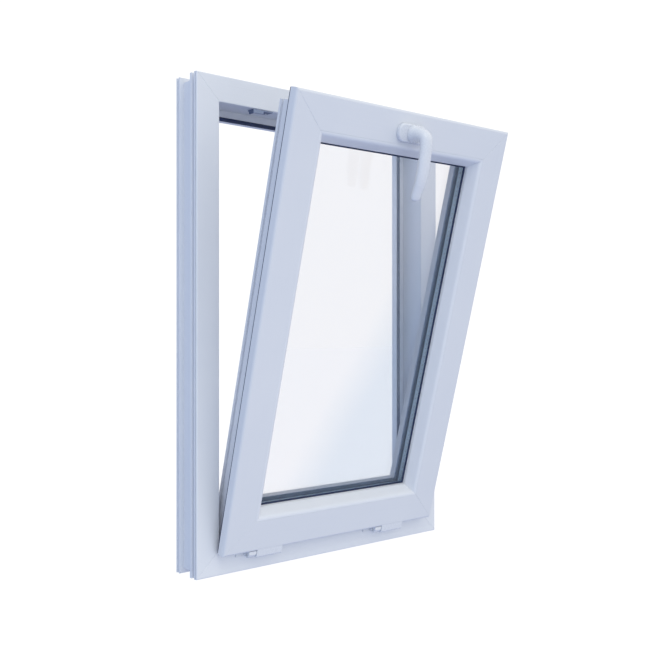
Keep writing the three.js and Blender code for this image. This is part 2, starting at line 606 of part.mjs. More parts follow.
function leverGeometry() {
  const places = []
  for (let step = 0; step < 22; step += 1) places.push((step / 22) * 0.96)
  places.push(0.96, 0.975, 0.985, 0.994, 1)
  const vertices = []
  const triangles = []
  places.forEach((place) => {
    const centre = leverPath.getPointAt(place)
    const along = leverPath.getTangentAt(place)
    const thick = new THREE.Vector3(0, -along.z, along.y)
    const [halfWidth, halfThickness] = sectionAt(place)
    for (let side = 0; side < LEVER_SIDES; side += 1) {
      const angle = (side / LEVER_SIDES) * 2 * Math.PI
      const point = centre.clone().addScaledVector(thick, halfThickness * Math.sin(angle))
      vertices.push(point.x + halfWidth * Math.cos(angle), point.y, point.z)
    }
  })
  for (let ring = 0; ring < places.length - 1; ring += 1) {
    for (let side = 0; side < LEVER_SIDES; side += 1) {
      const next = (side + 1) % LEVER_SIDES
      const here = ring * LEVER_SIDES
      const there = here + LEVER_SIDES
      triangles.push(here + side, there + side, there + next)
      triangles.push(here + side, there + next, here + next)
    }
  }
  const first = leverPath.getPointAt(0)
  const last = leverPath.getPointAt(1)
  const startCentre = vertices.length / 3
  vertices.push(first.x, first.y, first.z, last.x, last.y, last.z)
  const lastRing = (places.length - 1) * LEVER_SIDES
  for (let side = 0; side < LEVER_SIDES; side += 1) {
    const next = (side + 1) % LEVER_SIDES
    triangles.push(startCentre, side, next)
    triangles.push(startCentre + 1, lastRing + next, lastRing + side)
  }
  return fromArrays(vertices, triangles)
}

const SPINDLE_HALF = 3.5
const squareBar = (half, y0, y1) =>
  box(-half, half, y0, y1, handleHeight - half, handleHeight + half)
addToSash('handle_lever',
  cut(leverGeometry(), squareBar(SPINDLE_HALF + GAP, -43, COVER_FRONT + 1)), handleWhite)
addToSash('handle_spindle', squareBar(SPINDLE_HALF, -42.5, GROOVE_CENTRE + 5.5), steel)

export default window
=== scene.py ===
import json
import math

import bmesh
import bpy
from mathutils import Matrix, Vector


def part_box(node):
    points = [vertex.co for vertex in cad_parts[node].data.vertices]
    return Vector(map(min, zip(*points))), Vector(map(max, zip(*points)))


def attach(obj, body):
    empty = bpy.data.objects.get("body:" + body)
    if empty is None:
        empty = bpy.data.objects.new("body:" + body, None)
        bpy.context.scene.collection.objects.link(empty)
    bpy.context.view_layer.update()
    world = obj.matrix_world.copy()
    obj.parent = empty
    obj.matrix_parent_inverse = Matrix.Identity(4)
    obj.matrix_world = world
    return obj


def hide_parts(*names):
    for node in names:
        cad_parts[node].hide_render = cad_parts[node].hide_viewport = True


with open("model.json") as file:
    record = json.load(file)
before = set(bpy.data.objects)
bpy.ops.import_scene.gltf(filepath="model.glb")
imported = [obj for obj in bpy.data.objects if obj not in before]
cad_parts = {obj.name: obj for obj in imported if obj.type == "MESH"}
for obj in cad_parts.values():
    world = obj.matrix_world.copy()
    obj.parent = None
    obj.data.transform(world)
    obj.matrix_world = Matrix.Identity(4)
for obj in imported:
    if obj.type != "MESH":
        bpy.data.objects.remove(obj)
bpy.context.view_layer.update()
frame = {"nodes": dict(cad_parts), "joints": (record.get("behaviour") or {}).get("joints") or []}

# ---- Camera -----------------------------------------------------------------------------
# It stands in the room to the left of the window, level with the window's middle. It looks
# level too, so that upright edges stay upright.

camera = bpy.data.objects.new("camera", bpy.data.cameras.new("camera"))
bpy.context.scene.collection.objects.link(camera)
camera.data.lens = 49.815
camera.data.sensor_width = 36
camera.location = (-1.148917, -1.381625, 0.450683)
camera.rotation_euler = (math.radians(90), 0, math.radians(-39.913))
bpy.context.scene.camera = camera

# ---- Studio -----------------------------------------------------------------------------
# A white floor lit from within, a white surround and three soft lamps. The surround lights
# the window more from the room and from above than from behind and below.


class Value:
    """One output of a node. Sums written with it add Math nodes."""

    def __init__(self, graph, socket):
        self.graph = graph
        self.socket = socket

    def __getitem__(self, name):
        return Value(self.graph, self.socket.node.outputs[name])

    def maths(self, operation, *others):
        return self.graph.maths(operation, self, *others)

    def __add__(self, other):
        return self.maths("ADD", other)

    def __mul__(self, other):
        return self.maths("MULTIPLY", other)

    def __sub__(self, other):
        return self.maths("SUBTRACT", other)

    def __rsub__(self, other):
        return self.graph.maths("SUBTRACT", other, self)

    __radd__ = __add__
    __rmul__ = __mul__


class Graph:
    """Adds nodes to a material, to the world or to a geometry tree."""

    def __init__(self, tree):
        self.tree = tree

    def node(self, kind, settings=None, sockets=None):
        made = self.tree.nodes.new(kind)
        for name, value in (settings or {}).items():
            setattr(made, name, value)
        for name, value in (sockets or {}).items():
            socket = made.inputs[name]
            if isinstance(value, Value):
                self.tree.links.new(value.socket, socket)
            elif socket.type == "RGBA" and len(value) == 3:
                socket.default_value = (*value, 1)
            else:
                socket.default_value = value
        return Value(self, made.outputs[0]) if made.outputs else None

    def maths(self, operation, *values):
        return self.node("ShaderNodeMath", {"operation": operation}, dict(enumerate(values)))

    def mix(self, share, first, second):
        sockets = {0: share, 6: first, 7: second}
        return self.node("ShaderNodeMix", {"data_type": "RGBA"}, sockets)[2]

    def stretch(self, vector, scale):
        return self.node("ShaderNodeMapping", None, {"Vector": vector, "Scale": scale})

    def noise(self, vector, scale, detail=2.0):
        sockets = {"Vector": vector, "Scale": scale, "Detail": detail}
        return self.node("ShaderNodeTexNoise", None, sockets)

    def between(self, value, low, high, to_low=0.0, to_high=1.0):
        sockets = dict(enumerate((value, low, high, to_low, to_high)))
        return self.node("ShaderNodeMapRange", None, sockets)

    def place(self):
        return self.node("ShaderNodeTexCoord")["Object"]

    def bump(self, height, distance, strength):
        sockets = {"Height": height, "Distance": distance, "Strength": strength}
        return self.node("ShaderNodeBump", None, sockets)

    def shade(self, sockets):
        shader = self.node("ShaderNodeBsdfPrincipled", None, sockets)
        self.node("ShaderNodeOutputMaterial", None, {"Surface": shader})


def new_look(name):
    material = bpy.data.materials.new(name)
    material.use_nodes = True
    material.node_tree.nodes.clear()
    return material, Graph(material.node_tree)


def add_object(name, data):
    made = bpy.data.objects.new(name, data)
    bpy.context.scene.collection.objects.link(made)
    return made


def new_mesh(name, points, faces=()):
    mesh = bpy.data.meshes.new(name)
    mesh.from_pydata(points, [], faces)
    return mesh


bpy.context.scene.view_settings.view_transform = "Standard"
world = bpy.data.worlds.new("surround")
bpy.context.scene.world = world
world.use_nodes = True
world.node_tree.nodes.clear()
sky = Graph(world.node_tree)
split = sky.node("ShaderNodeSeparateXYZ", None, {0: sky.node("ShaderNodeTexCoord")["Generated"]})
slopes = (
    (split["X"], (0.08, 0.04, 0.0)),
    (split["Y"].maths("MINIMUM", 0.0), (-0.30, -0.27, -0.12)),
    (split["Y"].maths("MAXIMUM", 0.0), (-0.12, -0.14, -0.20)),
    (split["Z"], (0.31, 0.29, 0.17)),
)
glow = (0.565, 0.63, 0.82)
for reach, slope in slopes:
    sockets = {0: reach, 1: slope, 2: glow}
    glow = sky.node("ShaderNodeVectorMath", {"operation": "MULTIPLY_ADD"}, sockets)
SEEN_WHITE = 1.08  # what the camera sees, straight or through the glass
lighting = sky.node("ShaderNodeBackground", None, {"Color": glow, "Strength": 1.0})
seen = sky.node("ShaderNodeBackground", None, {"Color": (1, 1, 1), "Strength": SEEN_WHITE})
straight = sky.node("ShaderNodeLightPath")
either = sky.maths("MAXIMUM", straight["Is Camera Ray"], straight["Is Transmission Ray"])
chosen = sky.node("ShaderNodeMixShader", None, {0: either, 1: lighting, 2: seen})
sky.node("ShaderNodeOutputWorld", None, {"Surface": chosen})

FLOOR_REACH = 12
FLOOR_LEVEL = -0.0006
FLOOR_GLOW = 0.99
white_floor, look = new_look("white_floor")
cloud = look.noise(look.place(), 3)
look.shade({
    "Base Color": look.mix(cloud, (0.09, 0.09, 0.10), (0.11, 0.11, 0.12)),
    "Roughness": 0.9,
    "Specular IOR Level": 0.0,
    "Emission Color": (1.0, 1.0, 1.0, 1),
    "Emission Strength": FLOOR_GLOW,
})
floor_corners = [
    (x * FLOOR_REACH, y * FLOOR_REACH, FLOOR_LEVEL) for x, y in ((-1, -1), (1, -1), (1, 1), (-1, 1))]
floor_mesh = new_mesh("floor", floor_corners, [(0, 1, 2, 3)])
floor_mesh.materials.append(white_floor)
floor = add_object("floor", floor_mesh)
floor.visible_diffuse = False
floor.visible_glossy = False


def soft_lamp(name, size, power, colour, where, towards, mirrored=True):
    lamp = bpy.data.lights.new(name, "AREA")
    lamp.size = size
    lamp.energy = power
    lamp.color = colour
    made = add_object(name, lamp)
    made.location = where
    made.rotation_euler = (Vector(towards) - Vector(where)).to_track_quat("-Z", "Y").to_euler()
    made.visible_camera = False
    made.visible_transmission = False
    made.visible_glossy = mirrored


soft_lamp("top_lamp", 1.2, 8, (1.0, 0.985, 0.96), (-1.0, -1.5, 2.5), (0, 0, 0.6))
soft_lamp("low_lamp", 0.5, 0.8, (0.97, 0.98, 1.0), (-0.2, -1.0, 0.12), (0, -0.1, 0.1), mirrored=False)
soft_lamp("back_lamp", 0.6, 4, (0.86, 0.93, 1.0), (-0.45, 1.3, 0.6), (0.25, 0, 0.5), mirrored=False)

# ---- Frame profiles ---------------------------------------------------------------------
# Four lengths of extruded white PVC, mitred, welded at the corners and grooved along each
# weld. Every profile is a line of [inward, depth, corner radius] points in millimetres.

MM = 0.001
RIB_CENTRE = 20  # depth of the middle of the frame's rib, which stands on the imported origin
FRAME = {"Width": 610, "Height": 900, "Base": 0}
joints = {joint["name"]: joint for joint in frame["joints"]}
OPEN_ANGLE = math.radians(joints["sash_tilt"]["range_deg"][1])
HINGE = Vector(joints["sash_tilt"]["pos_m"])
to_row = Matrix.Translation((0, -RIB_CENTRE * MM, 0)) @ Matrix.Scale(MM, 4)
tilt = Matrix.Translation(HINGE) @ Matrix.Rotation(OPEN_ANGLE, 4, "X") @ Matrix.Translation(-HINGE)
SETTING = {"frame": to_row, "sash": tilt @ to_row, "handle": tilt @ to_row}


def rounded(corners, steps=7):
    """Turns corners into an outline whose corners are short arcs."""
    outline = []
    for index, corner in enumerate(corners):
        here = Vector(corner[:2])
        radius = corner[2] if len(corner) > 2 else 0
        if not radius:
            outline.append(here)
            continue
        back = (Vector(corners[index - 1][:2]) - here).normalized()
        ahead = (Vector(corners[(index + 1) % len(corners)][:2]) - here).normalized()
        half = back.angle(ahead) / 2
        centre = here + (back + ahead).normalized() * radius / math.sin(half)
        start = here + back * radius / math.tan(half) - centre
        turn = start.angle_signed(here + ahead * radius / math.tan(half) - centre)
        for step in range(steps + 1):
            outline.append(centre + Matrix.Rotation(-turn * step / steps, 2) @ start)
    return outline


def straight_bar(name, outline, ranks):
    """A bar along X whose rings are numbered by X, for the geometry tree to stretch."""
    count = len(outline)
    area = sum(a.cross(b) for a, b in zip(outline, outline[1:] + outline[:1]))
    if area < 0:
        outline = outline[::-1]
    points = [(rank, depth, inward) for rank in ranks for inward, depth in outline]
    faces = []
    for ring in range(len(ranks) - 1):
        here = ring * count
        for j in range(count):
            k = (j + 1) % count
            faces.append((here + j, here + count + j, here + count + k, here + k))
    if len(ranks) > 2:
        last = (len(ranks) - 1) * count
        faces.append(tuple(range(count)))
        faces.append(tuple(last + j for j in reversed(range(count))))
    return new_mesh(name, points, faces)


def new_tree(name, inputs):
    """A geometry tree with its named inputs. Returns the graph and the node of the inputs."""
    tree = bpy.data.node_groups.new(name, "GeometryNodeTree")
    tree.interface.new_socket("Geometry", in_out="INPUT", socket_type="NodeSocketGeometry")
    for label, kind in inputs.items():
        tree.interface.new_socket(label, in_out="INPUT", socket_type=f"NodeSocket{kind}")
    tree.interface.new_socket("Geometry", in_out="OUTPUT", socket_type="NodeSocketGeometry")
    graph = Graph(tree)
    return graph, graph.node("NodeGroupInput")


def end_tree(graph, geometry, material):
    whole = graph.node("GeometryNodeRealizeInstances", None, {"Geometry": geometry})
    done = graph.node("GeometryNodeSetMaterial", None, {"Geometry": whole, "Material": material})
    graph.node("NodeGroupOutput", None, {0: done})


def run_tree(name, mesh, graph, values):
    """Puts a mesh through a geometry tree and keeps the result as a plain mesh."""
    made = add_object(name, mesh)
    modifier = made.modifiers.new("shape", "NODES")
    modifier.node_group = graph.tree
    for item in graph.tree.interface.items_tree:
        if item.in_out == "INPUT" and item.name in values:
            modifier[item.identifier] = values[item.name]
    result = made.evaluated_get(bpy.context.evaluated_depsgraph_get())
    made.data = bpy.data.meshes.new_from_object(result)
    made.modifiers.clear()
    return made


def shade_piece(piece, smooth):
    """Smooths rounded edges and lets the broad faces beside them stay flat."""
    piece.data.polygons.foreach_set("use_smooth", [True] * len(piece.data.polygons))
    piece.data.set_sharp_from_angle(angle=math.radians(smooth))
    weighted = piece.modifiers.new("weighted", "WEIGHTED_NORMAL")
    weighted.keep_sharp = True
    weighted.weight = 100
    result = piece.evaluated_get(bpy.context.evaluated_depsgraph_get())
    piece.data = bpy.data.meshes.new_from_object(result)
    piece.modifiers.clear()


def finish_piece(piece, body, stands_for=(), smooth=28):
    """Sets a piece drawn closed, in millimetres, in its place and hands it to its body."""
    piece.data.transform(SETTING[body])
    shade_piece(piece, smooth)
    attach(piece, body)
    if stands_for:
        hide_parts(*stands_for)


# The tree cuts one straight bar to the mitre on each side of a rectangle. Ring number 1 ends
# the plain length, and 2 and 3 lie in the weld groove. Its surface grain starts somewhere else
# on each side, so no two bars look alike.
bars, given = new_tree("bars_around", {
    "Width": "Float", "Height": "Float", "Base": "Float", "End Gap": "Float",
    "Groove Width": "Float", "Front": "Float", "Back": "Float", "Material": "Material",
})
GROOVE_SLOPE = 0.5
GRAIN_STEP = 970.0
WELD_DISTANCE = 0.001
where = bars.node("ShaderNodeSeparateXYZ", None, {0: bars.node("GeometryNodeInputPosition")})
ring = where["X"].maths("ABSOLUTE")
set_back = ring.maths("LESS_THAN", 2.5) * given["Groove Width"]
set_back = set_back + ring.maths("LESS_THAN", 1.5) * GROOVE_SLOPE
in_groove = ring.maths("GREATER_THAN", 1.5)
clamped = where["Y"].maths("MAXIMUM", given["Front"]).maths("MINIMUM", given["Back"])
depth = where["Y"] + in_groove * (clamped - where["Y"])
middle_height = given["Base"] + given["Height"] * 0.5
layout = (  # length, turn and place of the bottom, top, left and right bar
    (given["Width"], 0, {2: given["Base"]}),
    (given["Width"], math.pi, {2: given["Base"] + given["Height"]}),
    (given["Height"], math.pi / 2, {0: given["Width"] * -0.5, 2: middle_height}),
    (given["Height"], -math.pi / 2, {0: given["Width"] * 0.5, 2: middle_height}),
)
sides = []
for number, (length, turn, move) in enumerate(layout):
    reach = length * 0.5 - where["Z"] - given["End Gap"] - set_back
    along = where["X"].maths("SIGN") * reach
    place = bars.node("ShaderNodeCombineXYZ", None, {0: along, 1: depth, 2: where["Z"]})
    cut = bars.node("GeometryNodeSetPosition", None, {"Geometry": given, "Position": place})
    start = (number * GRAIN_STEP, 0, 0)
    grain = bars.node("ShaderNodeVectorMath", {"operation": "ADD"}, {0: place, 1: start})
    named = bars.node(
        "GeometryNodeStoreNamedAttribute", {"data_type": "FLOAT_VECTOR", "domain": "POINT"},
        {"Geometry": cut, "Name": "grain", "Value": grain})
    sides.append(bars.node("GeometryNodeTransform", None, {
        "Geometry": named, "Rotation": (0, turn, 0),
        "Translation": bars.node("ShaderNodeCombineXYZ", None, move)}))
together = bars.node("GeometryNodeJoinGeometry")
for side in reversed(sides):
    bars.tree.links.new(side.socket, together.socket.node.inputs[0])
welded = bars.node(
    "GeometryNodeMergeByDistance", None, {"Geometry": together, "Distance": WELD_DISTANCE})
end_tree(bars, welded, given["Material"])
NO_LIMIT = (-1000, 1000)


def bars_around(name, corners, rectangle, material, gap=0, groove=0, floors=NO_LIMIT):
    """Four mitred bars with weld grooves down to floors, or one closed ring if there is no gap."""
    if groove:
        ranks = (-3, -2, -1, 1, 2, 3)
    elif gap:
        ranks = (-3, -2.9, 2.9, 3)
    else:
        ranks = (-3, 3)
    mesh = straight_bar(name, rounded(corners), ranks)
    values = {key: float(value) for key, value in rectangle.items()}
    values.update({
        "End Gap": float(gap), "Groove Width": float(groove), "Front": float(floors[0]),
        "Back": float(floors[1]), "Material": material,
    })
    return run_tree(name, mesh, bars, values)


PVC_LIGHT = Vector((0.80, 0.82, 0.86))
PVC_SHADE = Vector((0.77, 0.795, 0.845))


def pvc_look(name, grained, brightness=1.0):
    """Extruded PVC: faint draw lines along the bar, a fine skin and slight cloudiness."""
    material, look = new_look(name)
    if grained:
        place = look.node("ShaderNodeAttribute", {"attribute_name": "grain"})["Vector"]
        place = look.stretch(place, (MM, MM, MM))
    else:
        place = look.place()
    lines = look.noise(look.stretch(place, (2.5, 900, 900)), 1, 2)
    cloud = look.noise(place, 9, 3)
    skin = look.noise(place, 2600, 1)
    tone = lines * 0.35 + cloud * 0.65
    share = look.between(tone, 0.3, 0.7)
    look.shade({
        "Base Color": look.mix(share, PVC_SHADE * brightness, PVC_LIGHT * brightness),
        "Roughness": look.between(tone + skin * 0.3, 0.3, 1.0, 0.24, 0.42),
        "Normal": look.bump(lines * 0.7 + skin * 0.3, 0.00012, 0.5),
        "IOR": 1.53,
        "Coat Roughness": 0.2,
    })
    return material


MITRE_GAP = 0.08
WELD_GROOVE = 0.8
pvc = pvc_look("extruded_pvc", True)

frame_profiles = bars_around("frame_profiles", [
    (0, 0, 2.5), (48, 0, 2), (48, 54, 0.4), (62, 54), (62, 57.5), (65, 57.5), (65, 54),
    (68, 54, 0.5), (68, 70, 3), (0, 70, 1), (0, 67, 0.5), (3, 67), (3, 62), (0, 62, 0.5),
    (0, 58, 0.5), (9, 58), (9, 23), (0, 23, 0.4), (0, 17, 0.4), (6.5, 17), (6.5, 9), (0, 9, 0.4),
    (0, 5.5, 0.3), (3.5, 5.5), (3.5, 3.5), (0, 3.5, 0.3),
], FRAME, pvc, MITRE_GAP, WELD_GROOVE, floors=(0.25, 69.75))
finish_piece(frame_profiles, "frame", [
    "frame_sill", "frame_head", "frame_jamb_left", "frame_jamb_right"])

# ---- Sash profiles ----------------------------------------------------------------------
# White PVC for the tilting sash: the frame's PVC, darkened a little as painted shade, since the tilted
# sash faces slightly downwards. Its lip laps over the frame, and its outer edge has the groove for the
# locking rod.

SASH = {"Width": 530, "Height": 820, "Base": 40}
SASH_EDGE = 5
SASH_FACE = -21.5
# Painted shade: the sash's copy of the PVC is 4.5 % darker than the frame's.
sash_pvc_in_painted_shade = pvc_look("sash_pvc_in_painted_shade", True, 0.955)
sash_profiles = bars_around("sash_profiles", [
    (0, SASH_FACE, SASH_EDGE), (60, SASH_FACE, 0.3), (60, -7), (57, -7), (57, -3), (60, -3), (60, 34, 0.3),
    (80, 34, 1), (80, 48.5, 3), (20, 48.5, 1), (20, 42.5, 0.5), (24, 42.5), (24, 37),
    (20, 37, 0.5), (20, 17.5, 0.5), (23, 17.5), (23, 15.5), (30, 15.5), (30, 3.5), (23, 3.5),
    (23, 1.5), (20, 1.5, 0.5), (20, -3.5), (6, -3.5), (6, -6.5), (3, -6.5), (3, -3.5),
    (0, -3.5, 1),
], SASH, sash_pvc_in_painted_shade, MITRE_GAP, WELD_GROOVE, floors=(-21.25, 48.25))
finish_piece(sash_profiles, "sash", [
    "sash_top_rail", "sash_bottom_rail", "sash_stile_left", "sash_stile_right"])

# ---- Glazing beads ----------------------------------------------------------------------
# Sloping PVC beads, mitred but not welded. A foot snaps into the sash, and they hold the
# glass in from the room side.

beads = bars_around("glazing_beads", [
    (60.1, -21.3, 0.25), (66, -21.3, 9), (78.6, -2, 3), (79, 3.5, 0.3), (60.3, 3.5, 0.2),
    (60.3, -3.3), (57.6, -3.3), (57.6, -6.7), (60.1, -6.7),
], SASH, pvc, MITRE_GAP)
finish_piece(beads, "sash", [
    "glazing_bead_top", "glazing_bead_bottom", "glazing_bead_left", "glazing_bead_right"])

# ---- Seals ------------------------------------------------------------------------------
# Rubber, run in one length round each rectangle and pressed into its slot: a lipped seal in
# the frame, a thin one behind the sash lip and two wedges on the glass, the outer one grey.


def rubber_look(name, dark, light):
    """Extruded rubber with a dusty bloom and a fine skin."""
    material, look = new_look(name)
    place = look.place()
    bloom_and_painted_reflection = look.noise(place, 60, 3)
    skin = look.noise(place, 3200, 2)
    look.shade({
        "Base Color": look.mix(look.between(bloom_and_painted_reflection, 0.35, 0.75), dark, light),
        "Roughness": look.between(bloom_and_painted_reflection, 0.3, 0.8, 0.48, 0.68),
        "Normal": look.bump(skin, 0.00015, 0.5),
    })
    return material


rubber = rubber_look("black_rubber", (0.010, 0.020, 0.065), (0.020, 0.036, 0.11))
blue_rubber = rubber_look("blue_grey_rubber", (0.20, 0.27, 0.42), (0.26, 0.34, 0.50))


def coat(material, *nodes):
    """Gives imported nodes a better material."""
    for node in nodes:
        for slot in frame["nodes"][node].material_slots:
            slot.material = material


frame_seal = bars_around("frame_seal_strip", [
    (62.3, 57.2), (62.3, 53.7), (61, 53.7, 0.4), (61, 51.4, 0.8), (62.4, 49.8, 1), (65.4, 49.0, 1),
    (69, 50.3, 0.7), (69, 51.5, 0.5), (66.4, 51.3, 1), (66.6, 53.7, 0.3), (64.7, 53.7), (64.7, 57.2),
], FRAME, rubber)
finish_piece(frame_seal, "frame", ["frame_seal"])
inner_seal = bars_around("inner_glass_seal", [
    (72, 3.8), (79, 3.8, 0.2), (81.2, 4.4, 0.6), (81.8, 6.2, 0.2), (72, 6.2),
], SASH, rubber)
finish_piece(inner_seal, "sash", ["glazing_seal_inner"])
outer_seal = bars_around("outer_glass_seal", [
    (70, 30.8), (81, 30.8, 0.2), (80.6, 33.2, 0.7), (79.6, 33.7, 0.2), (70, 33.7),
], SASH, blue_rubber)
finish_piece(outer_seal, "sash", ["glazing_seal_outer"])
coat(rubber, "sash_seal")

# ---- Glass ------------------------------------------------------------------------------
# Two panes of clear float glass, 16 mm apart. Their tint carries a painted reflection: it is lighter
# towards the top left and bluer towards the bottom right, as if a bright sky were mirrored in the glass.

glass, look = new_look("clear_glass")
place = look.place()
reflection_wobble = look.noise(place, 5, 3)
split = look.node("ShaderNodeSeparateXYZ", None, {0: place})
# Painted reflection: the tint goes from darker and bluer at the bottom right to lighter at the top left,
# with a little noise along its edge.
bloom_and_painted_reflection = look.between(split["Z"] - split["X"] * 2 + reflection_wobble * 0.06, 0.22, 0.44)
look.shade({
    "Base Color": look.mix(bloom_and_painted_reflection, (0.836, 0.866, 0.908), (0.912, 0.916, 0.934)),
    "Roughness": 0.0,
    "IOR": 1.5,
    "Specular Tint": (0.6, 0.78, 1.0, 1),
    "Transmission Weight": 1.0,
})
coat(glass, "glass_pane_inner", "glass_pane_outer")

# ---- Spacer -----------------------------------------------------------------------------
# A bent aluminium bar between the panes. It holds a drying agent, which works through the
# short slots punched along the face that looks into the unit.

spacer_metal, look = new_look("spacer_aluminium")
place = look.place()
brushed = look.noise(look.stretch(place, (500, 500, 500)), 1, 2)
cloud = look.noise(place, 20, 2)
look.shade({
    "Base Color": look.mix(brushed, (0.54, 0.73, 0.95), (0.62, 0.81, 1.0)),
    "Roughness": look.between(cloud, 0.3, 0.7, 0.35, 0.5),
    "Metallic": 0.2,
    "Normal": look.bump(brushed, 0.00008, 0.4),
})
SPACER_INNER = 75
spacer = bars_around("spacer_bar", [
    (68.5, 10.8, 0.8), (73.5, 10.8, 0.3), (SPACER_INNER, 12.6, 0.5), (SPACER_INNER, 24.4, 0.5),
    (73.5, 26.2, 0.3), (68.5, 26.2, 0.8),
], SASH, spacer_metal)
finish_piece(spacer, "sash", ["glass_spacer"])

# The slots are not cut into the spacer: each is a thin dark box laid on its inner face, painted shade
# standing in for the dark inside a punched hole, mottled at random.
dark_slot, look = new_look("breathing_slot")
mottle_in_painted_shade = look.noise(look.place(), 900)
look.shade({
    "Base Color": look.mix(mottle_in_painted_shade, (0.03, 0.04, 0.06), (0.07, 0.09, 0.12)),
    "Roughness": 0.8,
})
SLOT_THICKNESS = 0.06
punched, given = new_tree("punched_slots", {
    "Width": "Float", "Height": "Float", "Base": "Float", "Depth": "Float", "Pitch": "Float",
    "Slot Length": "Float", "Slot Width": "Float", "Material": "Material",
})
path = punched.node("GeometryNodeCurvePrimitiveQuadrilateral", None, {
    "Width": given["Width"], "Height": given["Height"]})
spaced = punched.node("GeometryNodeResampleCurve", {"mode": "LENGTH"}, {
    "Curve": path, "Length": given["Pitch"]})
slot_size = punched.node("ShaderNodeCombineXYZ", None, {
    0: given["Slot Length"], 1: SLOT_THICKNESS, 2: given["Slot Width"]})
slot = punched.node("GeometryNodeMeshCube", None, {"Size": slot_size})
along = punched.node("FunctionNodeAlignRotationToVector", {"axis": "X"}, {
    "Vector": punched.node("GeometryNodeInputTangent")})
lined = punched.node("GeometryNodeInstanceOnPoints", None, {
    "Points": spaced, "Instance": slot, "Rotation": along})
centre = punched.node("ShaderNodeCombineXYZ", None, {
    1: given["Depth"], 2: given["Base"] + given["Height"] * 0.5})
stood = punched.node("GeometryNodeTransform", None, {
    "Geometry": lined, "Rotation": (math.pi / 2, 0, 0), "Translation": centre})
end_tree(punched, stood, given["Material"])
slots = run_tree("breathing_slots", bpy.data.meshes.new("slots"), punched, {
    "Width": float(SASH["Width"] - 2 * SPACER_INNER),
    "Height": float(SASH["Height"] - 2 * SPACER_INNER),
    "Base": float(SASH["Base"] + SPACER_INNER),
    "Depth": 18.5,
    "Pitch": 9.0,
    "Slot Length": 2.4,
    "Slot Width": 0.7,
    "Material": dark_slot,
})
finish_piece(slots, "sash")

# ---- Sealant and blocks -----------------------------------------------------------------
# Black sealant fills the edge of the glass unit, outside the spacer. Two plastic blocks under
# the unit carry its weight.

sealant, look = new_look("edge_sealant")
lumps = look.noise(look.place(), 260, 3)
look.shade({
    "Base Color": look.mix(lumps, (0.012, 0.014, 0.018), (0.03, 0.033, 0.04)),
    "Roughness": look.between(lumps, 0.3, 0.7, 0.55, 0.8),
    "Normal": look.bump(lumps, 0.0006, 0.6),
})
coat(sealant, "glass_edge_sealant")

block_plastic, look = new_look("block_plastic")
cloud = look.noise(look.place(), 120, 3)
look.shade({
    "Base Color": look.mix(cloud, (0.03, 0.10, 0.34), (0.05, 0.14, 0.42)),
    "Roughness": look.between(cloud, 0.3, 0.7, 0.4, 0.6),
    "Normal": look.bump(cloud, 0.0002, 0.4),
})
coat(block_plastic, "setting_block_left", "setting_block_right")

# ---- Steel inside the profiles ----------------------------------------------------------
# Galvanised channels slid into the main chambers, with the spangle that hot zinc leaves. The
# lock rod is a flat strip of the same steel.

galvanised, look = new_look("galvanised_steel")
place = look.place()
spangle = look.node("ShaderNodeTexVoronoi", None, {"Vector": place, "Scale": 130.0})["Color"]
spangle = look.node("ShaderNodeSeparateColor", None, {0: spangle})
look.shade({
    "Base Color": look.mix(spangle, (0.42, 0.44, 0.47), (0.60, 0.62, 0.65)),
    "Roughness": look.between(spangle, 0, 1, 0.32, 0.55),
    "Metallic": 1.0,
    "Normal": look.bump(spangle, 0.0001, 0.3),
})
coat(galvanised, *(f"{part}_steel_{side}" for part, side in (
    ("frame", "sill"), ("frame", "head"), ("frame", "left"), ("frame", "right"),
    ("sash", "top"), ("sash", "bottom"), ("sash", "left"), ("sash", "right"))))
coat(galvanised, "lock_rod")

# ---- Locks ------------------------------------------------------------------------------
# Zinc-plated steel: the faceplate along the sash's top edge, the cams that come up through
# it, the gearbox behind the handle and the keeps screwed to the frame's head.


def zinc_look(name, dark, light):
    """Brushed steel under a zinc plating that is slightly cloudy."""
    material, look = new_look(name)
    place = look.place()
    cloud = look.noise(place, 35, 4)
    brushed = look.noise(look.stretch(place, (40, 1800, 1800)), 1, 2)
    look.shade({
        "Base Color": look.mix(cloud, dark, light),
        "Roughness": look.between(brushed, 0.3, 0.7, 0.24, 0.42),
        "Metallic": 1.0,
        "Normal": look.bump(brushed, 0.00008, 0.4),
    })
    return material


zinc = zinc_look("zinc_plate", (0.56, 0.59, 0.64), (0.70, 0.72, 0.75))
# Painted shade: the keeps' plating is coloured a dark blue-grey, so that they sink into the shade of the
# head's rebate.
keep_zinc_in_painted_shade = zinc_look("zinc_plate_in_painted_shade", (0.20, 0.25, 0.37), (0.27, 0.32, 0.44))
coat(zinc, "lock_gearbox", "handle_base", "handle_spindle", "handle_screw_left",
     "handle_screw_right", "hinge_pin_left", "hinge_pin_right")


SAME_POINT = 2e-6  # metres
SAME_PLANE = math.radians(0.5)


def softened(node, body, material, edge=0.3, smooth=40):
    """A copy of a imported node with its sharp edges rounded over."""
    mesh = bpy.data.meshes.new(node + "_shape")
    shape = bmesh.new()
    shape.from_mesh(frame["nodes"][node].data)
    bmesh.ops.remove_doubles(shape, verts=shape.verts, dist=SAME_POINT)
    bmesh.ops.dissolve_limit(
        shape, angle_limit=SAME_PLANE, verts=shape.verts, edges=shape.edges)
    limit = math.radians(smooth)
    sharp = [e for e in shape.edges if e.is_manifold and e.calc_face_angle(0) > limit]
    bmesh.ops.bevel(
        shape, geom=sharp, offset=edge * MM, segments=3, profile=0.5, affect="EDGES",
        clamp_overlap=True)
    shape.to_mesh(mesh)
    shape.free()
    mesh.materials.append(material)
    piece = add_object(node + "_shape", mesh)
    shade_piece(piece, smooth)
    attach(piece, body)
    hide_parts(node)


